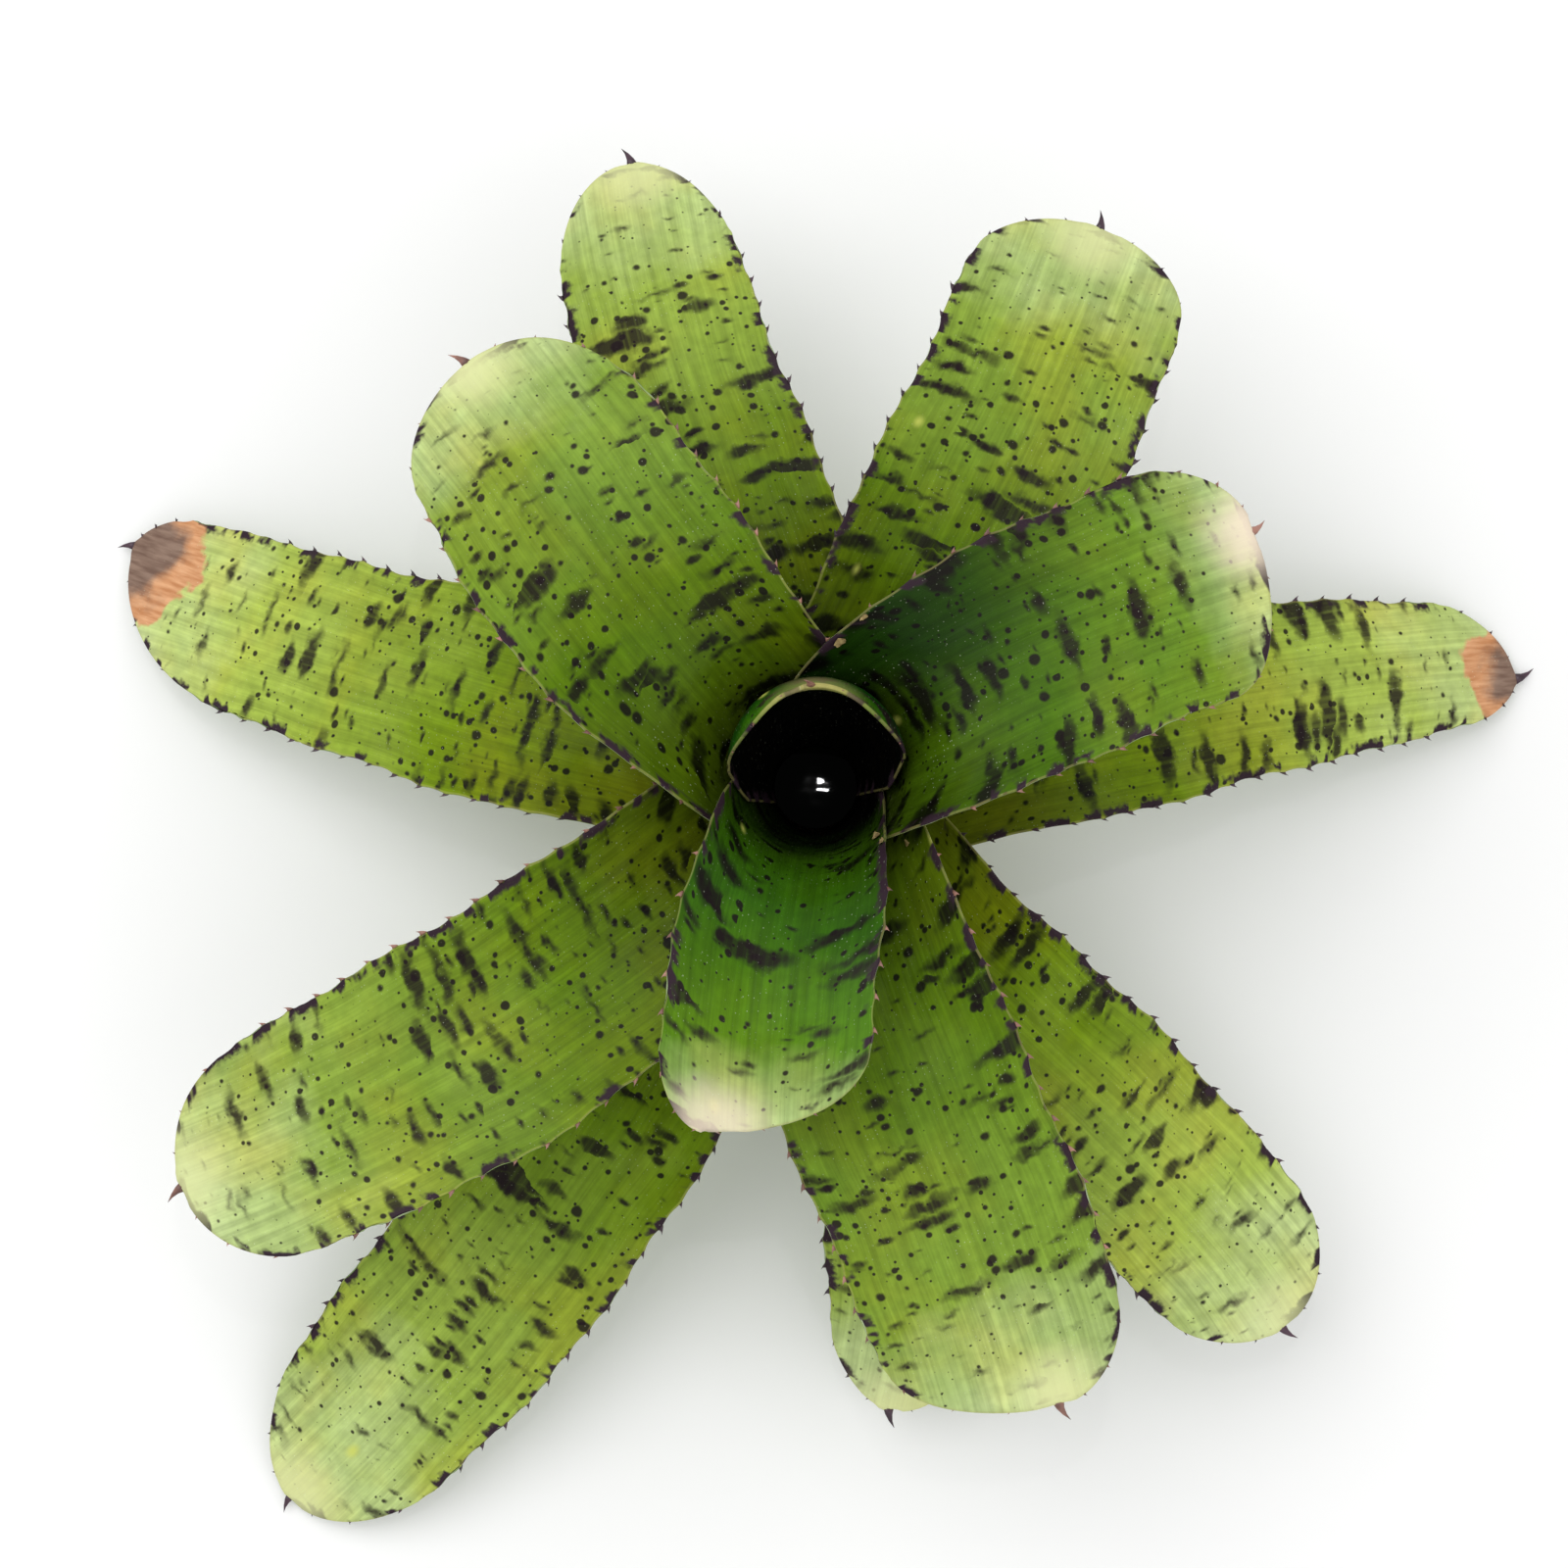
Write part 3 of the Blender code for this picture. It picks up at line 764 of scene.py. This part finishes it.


# Living leaf: a smooth, faintly waxy skin that shows lengthwise veins, dark cross bars and
# spots, dark patches on its edges and fine silver scales, with painted glints on the scales
# and painted shade of the cup towards its base.
def leaf_upper(name, skin):
    material, tree, shader = new_material(name)
    pattern = add(tree, UV_MAP, {}, uv_map="pattern_mm")
    across, along = add(tree, SPLIT, [add(tree, UV_MAP, {}, uv_map="place")]).outputs[:2]
    edge_mm, apex_mm = add(tree, SPLIT, [add(tree, UV_MAP, {}, uv_map="border_mm")]).outputs[:2]
    drawn = add(tree, VECTOR, [pattern, DRAWN_OUT], **TIMES)
    patchy = add(tree, NOISE, {"Vector": pattern, "Scale": 1 / PATCH_MM, "Detail": 4.0})
    veins = add(tree, NOISE, {"Vector": drawn, "Scale": 1 / VEIN_MM, "Detail": 1.0})

    colour = leaf_green(tree, patchy, across, along, skin)
    colour = uneven_green(tree, pattern, drawn, veins, colour)
    colour = dark_marks(tree, pattern, drawn, along, colour)
    scars = add(tree, MATH, [marks(tree, pattern, BITE_SCARS), SCAR_STRENGTH], **TIMES)
    colour = add(tree, MIX, {0: scars, 6: colour, 7: linear(SCAR_COLOUR)}, **COLOURS).outputs[2]
    colour = edge_colours(tree, pattern, edge_mm, colour)

    # Pale blush round the apex, and a withered end where the leaf has one.
    paled = add(tree, MATH, [patchy, 22.0, apex_mm], **TIMES_PLUS)
    paled = add(tree, RANGE, [paled, 30.0, 13.0, 0.0, skin.blush_share], **EASED)
    colour = add(tree, MIX, {0: paled, 6: colour, 7: linear(skin.blush)}, **COLOURS).outputs[2]
    if skin.dry_reach:
        colour = dry_end(tree, pattern, apex_mm, colour, skin.dry_reach)

    # Silver scales, brightened in patches by a painted glint. Real ones are about 0.2 mm wide,
    # and these are drawn twice that to show.
    scale_glint = add(tree, NOISE, {"Vector": pattern, "Scale": 1 / SCALE_GLINT_MM, "Detail": 2.0})
    scale_glint = add(tree, RANGE, [scale_glint, 0.4, 0.65, 0.05, 0.42], **EASED)
    scale_glint = add(tree, MATH, [marks(tree, pattern, SCALES), scale_glint], **TIMES)
    colour = add(tree, MIX, {0: scale_glint, 6: colour, 7: linear(SCALE_SILVER)}, **COLOURS).outputs[2]
    tree.links.new(colour, shader.inputs["Base Color"])
    shader.inputs["Roughness"].default_value = 0.42
    shader.inputs["Specular IOR Level"].default_value = 0.1

    # Gentle swells, with veins on them.
    swell = add(tree, NOISE, {"Vector": pattern, "Scale": 1 / SWELL_MM, "Detail": 2.0})
    swell = add(tree, BUMP, {"Height": swell, "Strength": 0.6, "Distance": 5.0 * MM})
    ribbed = {"Height": veins, "Strength": 0.35, "Distance": 0.3 * MM, "Normal": swell}
    tree.links.new(add(tree, BUMP, ribbed).outputs[0], shader.inputs["Normal"])
    return material


# Leaf underside: living leaf, dulled by a bloom of silver scales in bands across it.
def leaf_lower():
    material, tree, shader = new_material("leaf_underside_scurfy")
    pattern = add(tree, UV_MAP, {}, uv_map="pattern_mm")
    place = add(tree, SPLIT, [add(tree, UV_MAP, {}, uv_map="place")])
    share = add(tree, RANGE, [place.outputs[1], SKIN_START, 1.0])
    colour = add(tree, RAMP, [share], [
        (0.0, "#8a7a4c"), (0.2, "#7f8848"), (0.6, "#7d9a4e"), (1.0, "#93a773"),
    ])
    widened = add(tree, VECTOR, [pattern, (0.25, 1.0, 1.0)], **TIMES)
    bands = add(tree, NOISE, {"Vector": widened, "Scale": 1 / BAND_MM, "Detail": 2.0})
    bands = add(tree, RANGE, [bands, 0.45, 0.62, 0.0, 0.45])
    colour = add(tree, MIX, {0: bands, 6: colour, 7: linear("#b4bba4")}, **COLOURS).outputs[2]
    spots = marks(tree, pattern, UNDERSIDE_SPOTS)
    colour = add(tree, MIX, {0: spots, 6: colour, 7: linear("#4a3340")}, **COLOURS).outputs[2]
    tree.links.new(colour, shader.inputs["Base Color"])
    shader.inputs["Roughness"].default_value = 0.6
    drawn = add(tree, VECTOR, [pattern, DRAWN_OUT], **TIMES)
    veins = add(tree, NOISE, {"Vector": drawn, "Scale": 1 / VEIN_MM, "Detail": 1.0})
    ribbed = add(tree, BUMP, {"Height": veins, "Strength": 0.4, "Distance": 0.4 * MM})
    tree.links.new(ribbed.outputs[0], shader.inputs["Normal"])
    return material


# Spine: hard horn, slightly glossy, dark purple on old leaves and pinkish brown on young ones.
def spine_horn(name, dark, light):
    material, tree, shader = new_material(name)
    at = add(tree, PLACE, {}).outputs["Object"]
    tone = add(tree, NOISE, {"Vector": at, "Scale": 1 / HORN_TONE})
    colour = add(tree, RAMP, [tone], [(0.35, dark), (0.65, light)])
    tree.links.new(colour.outputs[0], shader.inputs["Base Color"])
    shader.inputs["Roughness"].default_value = 0.35
    return material


# Stem: dry fibrous bark, dull and ringed by the scars of shed leaves.
def stem_bark():
    material, tree, shader = new_material("stem_fibrous_bark")
    at = add(tree, PLACE, {}).outputs["Object"]
    drawn = add(tree, VECTOR, [at, (1.0, 1.0, 0.25)], **TIMES)
    fibre = add(tree, NOISE, {"Vector": drawn, "Scale": 1 / BARK_FIBRE, "Detail": 4.0})
    colour = add(tree, RAMP, [fibre], [(0.3, "#3b2a1b"), (0.5, "#6e5235"), (0.7, "#a08258")])
    tree.links.new(colour.outputs[0], shader.inputs["Base Color"])
    shader.inputs["Roughness"].default_value = 0.85
    ribbed = add(tree, BUMP, {"Height": fibre, "Strength": 0.6, "Distance": 0.4 * MM})
    tree.links.new(ribbed.outputs[0], shader.inputs["Normal"])
    return material


# Still water: mirror smooth with faint swells, black because no light comes up from the cup.
def still_water():
    material, tree, shader = new_material("still_water")
    shader.inputs["Base Color"].default_value = linear("#020302")
    shader.inputs["Roughness"].default_value = 0.01
    shader.inputs["IOR"].default_value = 1.33
    shader.inputs["Specular IOR Level"].default_value = 0.02
    at = add(tree, PLACE, {}).outputs["Object"]
    swell = add(tree, NOISE, {"Vector": at, "Scale": 1 / WATER_SWELL, "Detail": 1.0})
    swell = add(tree, BUMP, {"Height": swell, "Strength": 0.07, "Distance": 0.3 * MM})
    tree.links.new(swell.outputs[0], shader.inputs["Normal"])
    return material


# Dry sheath: brittle, dull tan remains of torn leaf base.
def dry_sheath():
    material, tree, shader = new_material("dry_sheath_tan")
    at = add(tree, PLACE, {}).outputs["Object"]
    fleck = add(tree, NOISE, {"Vector": at, "Scale": 1 / SHEATH_FLECK, "Detail": 3.0})
    colour = add(tree, RAMP, [fleck], [(0.35, "#6e5a35"), (0.65, "#b09a66")])
    tree.links.new(colour.outputs[0], shader.inputs["Base Color"])
    shader.inputs["Roughness"].default_value = 0.8
    return material


def spine_tree():
    """Geometry Nodes: a hooked spine at every point, turned by the directions stored there."""
    tree = bpy.data.node_groups.new("edge_spines", "GeometryNodeTree")
    face = tree.interface
    face.new_socket("Geometry", in_out="INPUT", socket_type="NodeSocketGeometry")
    sizes = {"Length": SPINE_LENGTH, "Half Base": SPINE_HALF_BASE, "Thickness": SPINE_THICKNESS}
    for label, value in sizes.items():
        face.new_socket(label, in_out="INPUT", socket_type="NodeSocketFloat").default_value = value
    face.new_socket("Seed", in_out="INPUT", socket_type="NodeSocketInt").default_value = SPINE_SEED
    face.new_socket("Material", in_out="INPUT", socket_type="NodeSocketMaterial")
    face.new_socket("Geometry", in_out="OUTPUT", socket_type="NodeSocketGeometry")
    given = add(tree, "NodeGroupInput", {}).outputs
    cone = add(tree, "GeometryNodeMeshCone", {
        "Vertices": SPINE_SIDES, "Side Segments": SPINE_RINGS,
        "Radius Top": SPINE_TIP_SHARE, "Radius Bottom": 1.0, "Depth": 1.0,
    })
    size = add(tree, "ShaderNodeCombineXYZ",
               [given["Half Base"], given["Thickness"], given["Length"]])
    spine = add(tree, "GeometryNodeTransform", {"Geometry": cone, "Scale": size})
    # The hook: each point moves sideways by the square of its share of the height.
    at = add(tree, SPLIT, [add(tree, "GeometryNodeInputPosition", {})])
    rise = add(tree, MATH, [at.outputs[2], given["Length"]], operation="DIVIDE")
    rise = add(tree, MATH, [rise, 2.0], operation="POWER")
    hook = add(tree, MATH, [rise, given["Length"]], **TIMES)
    hook = add(tree, "ShaderNodeCombineXYZ", [hook])
    spine = add(tree, "GeometryNodeSetPosition", {"Geometry": spine, "Offset": hook})
    stored = {label: add(tree, "GeometryNodeInputNamedAttribute", {"Name": label},
                         data_type="FLOAT_VECTOR") for label in ("outward", "tipward", "size")}
    turn = add(tree, "FunctionNodeAlignRotationToVector", {"Vector": stored["outward"]}, axis="Z")
    turn = add(tree, "FunctionNodeAlignRotationToVector",
               {"Rotation": turn, "Vector": stored["tipward"]}, axis="X", pivot_axis="Z")
    uneven = add(tree, "FunctionNodeRandomValue",
                 {2: 1.0 - SPINE_SHRINK, 3: 1.0, "Seed": given["Seed"]}, data_type="FLOAT")
    scale = add(tree, VECTOR, {0: stored["size"], "Scale": uneven.outputs[1]}, operation="SCALE")
    placed = add(tree, "GeometryNodeInstanceOnPoints", {
        "Points": given["Geometry"], "Instance": spine, "Rotation": turn, "Scale": scale,
    })
    real = add(tree, "GeometryNodeRealizeInstances", [placed])
    coat = {"Geometry": real, "Material": given["Material"]}
    coated = add(tree, "GeometryNodeSetMaterial", coat)
    add(tree, "NodeGroupOutput", [coated])
    return tree


def spine_places(midrib):
    """Where spines stand: along both edges, round the end, and one long one at the apex."""
    places = []
    apex = midrib.leaf.apex
    along = math.ceil(midrib.rim / SPINE_PITCH + FIRST_SPINE) * SPINE_PITCH
    while along < midrib.end_at(1.0):
        for side in (-1.0, 1.0):
            places.append((along, side, EDGE_SIZE))
        along += SPINE_PITCH
    for turn in END_SPINE_TURNS:
        off = math.sin(math.radians(turn))
        across = apex + off * (1 - apex if off > 0 else 1 + apex)
        places.append((midrib.end_at(across), across, END_SIZE))
    places.append((midrib.length, apex, APEX_SIZE))
    return places


def make_spines(name, midrib, tree, material):
    """The spines of one leaf as a plain mesh."""
    points, outwards, tipwards, sizes = [], [], [], []
    for along, across, size in spine_places(midrib):
        stray = edge_wave(midrib, along, across) / midrib.half_width(along)
        at = surface_point(midrib, along, across * (1 - stray))
        forward = surface_point(midrib, along + MM, across)
        forward = (forward - surface_point(midrib, along - MM, across)).normalized()
        sideways = surface_point(midrib, along, across + ACROSS_STEP)
        sideways = sideways - surface_point(midrib, along, across - ACROSS_STEP)
        sideways.normalize()
        reach = (along - midrib.end_at(1.0)) / (midrib.length - midrib.end_at(1.0))
        turn = smooth(reach) if abs(across) < 0.999 else 0.0
        side = 1.0 if across > midrib.leaf.apex else -1.0
        if size == APEX_SIZE:
            side, turn = 0.0, 1.0
        outward = (sideways * side * (1 - turn) + forward * turn).normalized()
        points.append(at - outward * SPINE_LENGTH * SPINE_SUNK)
        outwards.append(outward)
        tipwards.append(forward if turn < 0.5 else sideways * (side or 1.0))
        sizes.append(size)
    made = new_object(name, points, [], [])
    for label, values in (("outward", outwards), ("tipward", tipwards), ("size", sizes)):
        layer = made.data.attributes.new(label, "FLOAT_VECTOR", "POINT")
        layer.data.foreach_set("vector", np.array(values, dtype=np.float32).ravel())
    modifier = made.modifiers.new("spines", "NODES")
    modifier.node_group = tree
    for item in tree.interface.items_tree:
        if item.in_out == "INPUT" and item.name == "Material":
            modifier[item.identifier] = material
        if item.in_out == "INPUT" and item.name == "Seed":
            modifier[item.identifier] = SPINE_SEED + midrib.leaf.layer
    made.update_tag()
    graph = bpy.context.evaluated_depsgraph_get()
    plain = bpy.data.meshes.new_from_object(made.evaluated_get(graph))
    made.modifiers.remove(modifier)
    made.data = plain
    plain.shade_smooth()
    return made


class Scrap(NamedTuple):
    """A torn bit of dry sheath: its leaf, mm past the rim, place across, size in mm and turn."""

    leaf: str
    past_rim: float
    across: float
    size: float
    turn: float


SCRAPS = [
    Scrap("leaf_02", 4, 0.9, 5.0, 20), Scrap("leaf_02", 9, 0.96, 3.4, 150),
    Scrap("leaf_03", 17, 0.93, 5.5, 60), Scrap("leaf_03", 23, 0.97, 3.0, 200),
    Scrap("leaf_03", 6, 0.6, 4.0, 110), Scrap("leaf_04", 8, -0.6, 4.6, 250),
    Scrap("leaf_05", 7, 0.85, 3.6, 310), Scrap("leaf_05", 12, 0.75, 2.6, 80),
]


def make_scraps(material):
    """Thin torn chips that lie just above the leaves round the cup."""
    draw = Random(SCRAP_SEED)
    verts, faces = [], []
    for scrap in SCRAPS:
        midrib = Midrib(LEAVES[scrap.leaf])
        along = midrib.rim + scrap.past_rim * MM
        at = surface_point(midrib, along, scrap.across)
        forward = surface_point(midrib, along + MM, scrap.across) - at
        sideways = surface_point(midrib, along, scrap.across - ACROSS_STEP) - at
        forward.normalize()
        normal = sideways.cross(forward).normalized()
        sideways = forward.cross(normal)
        start = len(verts)
        ring = []
        for corner in range(SCRAP_CORNERS):
            angle = math.radians(scrap.turn) + math.tau * corner / SCRAP_CORNERS
            reach = scrap.size * MM / 2 * draw.uniform(*SCRAP_RAGGED)
            along_part = math.cos(angle) * reach
            curl = along_part ** 2 / (scrap.size * MM) * SCRAP_CURL
            across_part = math.sin(angle) * reach * SCRAP_WIDTH
            ring.append(at + forward * along_part + sideways * across_part
                        + normal * (SCRAP_LIFT + curl))
        skin = normal * SCRAP_HALF_SKIN
        centre = at + normal * SCRAP_LIFT
        verts += [p + skin for p in ring] + [p - skin for p in ring]
        verts += [centre + skin, centre - skin]
        top, low = start + 2 * SCRAP_CORNERS, start + 2 * SCRAP_CORNERS + 1
        for corner in range(SCRAP_CORNERS):
            a, b = start + corner, start + (corner + 1) % SCRAP_CORNERS
            c, d = a + SCRAP_CORNERS, b + SCRAP_CORNERS
            faces += [(a, b, top), (d, c, low), (a, c, d, b)]
    made = new_object("dry_sheath_scraps", verts, faces, [material])
    made.data.set_sharp_from_angle(angle=SCRAP_SHARP)
    return made


def turned(name, profile, material):
    """A closed piece turned about the axis from (radius, height) pairs, closed by end points."""
    verts, faces = [], []
    sides = TURNED_SIDES
    for radius, height in profile:
        for side in range(sides):
            angle = math.tau * side / sides
            verts.append((radius * math.cos(angle), radius * math.sin(angle), height))
    for ring in range(len(profile) - 1):
        for side in range(sides):
            after = (side + 1) % sides
            low, high = ring * sides, (ring + 1) * sides
            faces.append((low + side, low + after, high + after, high + side))
    verts.append((0, 0, profile[0][1]))
    verts.append((0, 0, profile[-1][1]))
    foot, top = len(verts) - 2, len(verts) - 1
    high = (len(profile) - 1) * sides
    for side in range(sides):
        after = (side + 1) % sides
        faces.append((after, side, foot))
        faces.append((high + side, high + after, top))
    return new_object(name, verts, faces, [material])


def inside_base(middle_radius):
    """The radius that just clears the inner face of a sheath whose middle has this radius."""
    inner_face = middle_radius - BASE_THICKNESS / 2
    return inner_face * math.cos(WRAP_LIMIT / SHEATH_FACETS) - TOUCH_GAP


def make_stem(material):
    """The stem with rings of leaf scars on its bare stub."""
    foot = inside_base(CUP_START + CUP_SLOPE * STUB_HEIGHT + LAYER_PITCH * (LEAF_COUNT - 1))
    profile = []
    for step in range(STUB_STEPS + 1):
        height = STUB_HEIGHT * step / STUB_STEPS
        bulge = math.sqrt(abs(math.sin(math.pi * height / SCAR_PITCH)))
        profile.append((foot - SCAR_DEPTH * (1 - bulge), height))
    top = base_height(0)
    top_radius = inside_base(CUP_START + CUP_SLOPE * top)
    for step in range(1, STEM_STEPS + 1):
        share = step / STEM_STEPS
        profile.append((mix(foot, top_radius, share), mix(STUB_HEIGHT, top, share)))
    profile.append((top_radius * STEM_TOP_SHARE, STEM_TOP))
    stem = turned("stem_fine", profile, material)
    rough = Random(STEM_SEED)
    for vertex in stem.data.vertices:
        if 0 < vertex.co.z < STUB_HEIGHT:
            vertex.co.xy *= 1 - STEM_ROUGHNESS * rough.random()
    stem.data.set_sharp_from_angle(angle=STEM_SHARP)
    return stem


def make_water(material):
    """The water, flat to the wall of the cup."""
    profile = []
    for step in range(WATER_STEPS + 1):
        height = mix(WATER_FLOOR, WATER_LEVEL, step / WATER_STEPS)
        profile.append((inside_base(layer_radius(height, 0)), height))
    edge = profile[-1][0]
    for share in WATER_RINGS:
        profile.append((edge * share, WATER_LEVEL))
    water = turned("tank_water_fine", profile, material)
    water.data.set_sharp_from_angle(angle=WATER_SHARP)
    return water


LEAF_SKINS = {
    "heart_leaf": "heart", "leaf_02": "second", "leaf_03": "inner", "leaf_04": "middle",
    "leaf_05": "middle", "leaf_06": "grown", "leaf_07": "grown", "leaf_08": "old",
    "leaf_09": "pale", "leaf_10": "withered", "leaf_11": "scorched", "leaf_12": "old",
    "leaf_13": "old",
}
LAST_PALE_SPINED_LAYER = 5


def make_plant():
    """Every piece of the plant, riding on the root, with the plain solids it replaces hidden."""
    under = leaf_lower()
    dark_horn = spine_horn("spine_horn_purple", "#281622", "#4a2f3e")
    pale_horn = spine_horn("spine_horn_pink", "#5c3d35", "#a8796a")
    skins = {name: leaf_upper(name, skin) for name, skin in SKINS.items()}
    tree = spine_tree()
    for name, leaf in LEAVES.items():
        skin = skins[LEAF_SKINS[name] + "_leaf_skin"]
        back = skin if name == "heart_leaf" else under
        piece, midrib = make_leaf(name + "_fine", leaf, [skin, back])
        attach(piece, "root")
        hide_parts(name)
        horn = pale_horn if leaf.layer <= LAST_PALE_SPINED_LAYER else dark_horn
        spines = make_spines(name + "_spines", midrib, tree, horn)
        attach(spines, "root")
    scraps = make_scraps(dry_sheath())
    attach(scraps, "root")
    stem = make_stem(stem_bark())
    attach(stem, "root")
    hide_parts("stem")
    water = make_water(still_water())
    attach(water, "root")
    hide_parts("tank_water")


# Floor: smooth board painted matt white, which shows soft shadows and no gloss.
def make_floor():
    corners = [(-1, -1), (1, -1), (1, 1), (-1, 1)]
    material, _, shader = new_material("floor_matt_white")
    shader.inputs["Base Color"].default_value = linear("#f6f6f6")
    shader.inputs["Roughness"].default_value = 0.9
    verts = [(x * FLOOR_HALF, y * FLOOR_HALF, -FLOOR_GAP) for x, y in corners]
    floor = new_object("floor", verts, [(0, 1, 2, 3)], [material])


class Light(NamedTuple):
    """A rectangular lamp: its place in metres, power in watts, sides in metres and aim."""

    place: tuple
    power: float
    sides: tuple
    aim: tuple


LIGHTS = {
    "key_softbox": Light((-0.8, 0.5, 1.7), 14.0, (1.6, 1.6), (0, 0, 0.05)),
    "fill_softbox": Light((0.9, -0.9, 1.5), 5.0, (1.6, 1.6), (0, 0, 0.05)),
    # Seen only as the glint on the water.
    "small_lamp": Light((0.012, 0.148, 1.29), 0.4, (0.009, 0.003), (0, 0, WATER_LEVEL)),
}


def make_lights():
    for name, light in LIGHTS.items():
        data = bpy.data.lights.new(name, "AREA")
        data.energy = light.power
        data.shape = "RECTANGLE"
        data.size, data.size_y = light.sides
        made = bpy.data.objects.new(name, data)
        made.location = light.place
        towards = Vector(light.aim) - Vector(light.place)
        made.rotation_euler = towards.to_track_quat("-Z", "Y").to_euler()
        bpy.context.scene.collection.objects.link(made)
    world = bpy.data.worlds.new("studio")
    world.use_nodes = True
    sky = world.node_tree.nodes["Background"]
    sky.inputs["Color"].default_value = linear("#ffffff")
    sky.inputs["Strength"].default_value = SKY_STRENGTH
    bpy.context.scene.world = world
    bpy.context.scene.view_settings.view_transform = "Standard"


def make_camera():
    """Looks down from just south of straight above, as the photograph does."""
    data = bpy.data.cameras.new("camera")
    data.sensor_width = CAMERA_SENSOR
    data.lens = CAMERA_LENS
    made = bpy.data.objects.new("camera", data)
    back = Vector((0, -math.sin(CAMERA_TILT), math.cos(CAMERA_TILT)))
    made.location = CAMERA_TARGET + back * CAMERA_DISTANCE
    made.rotation_euler = (CAMERA_TILT, 0, 0)
    bpy.context.scene.collection.objects.link(made)
    bpy.context.scene.camera = made


make_camera()
make_plant()
make_floor()
make_lights()
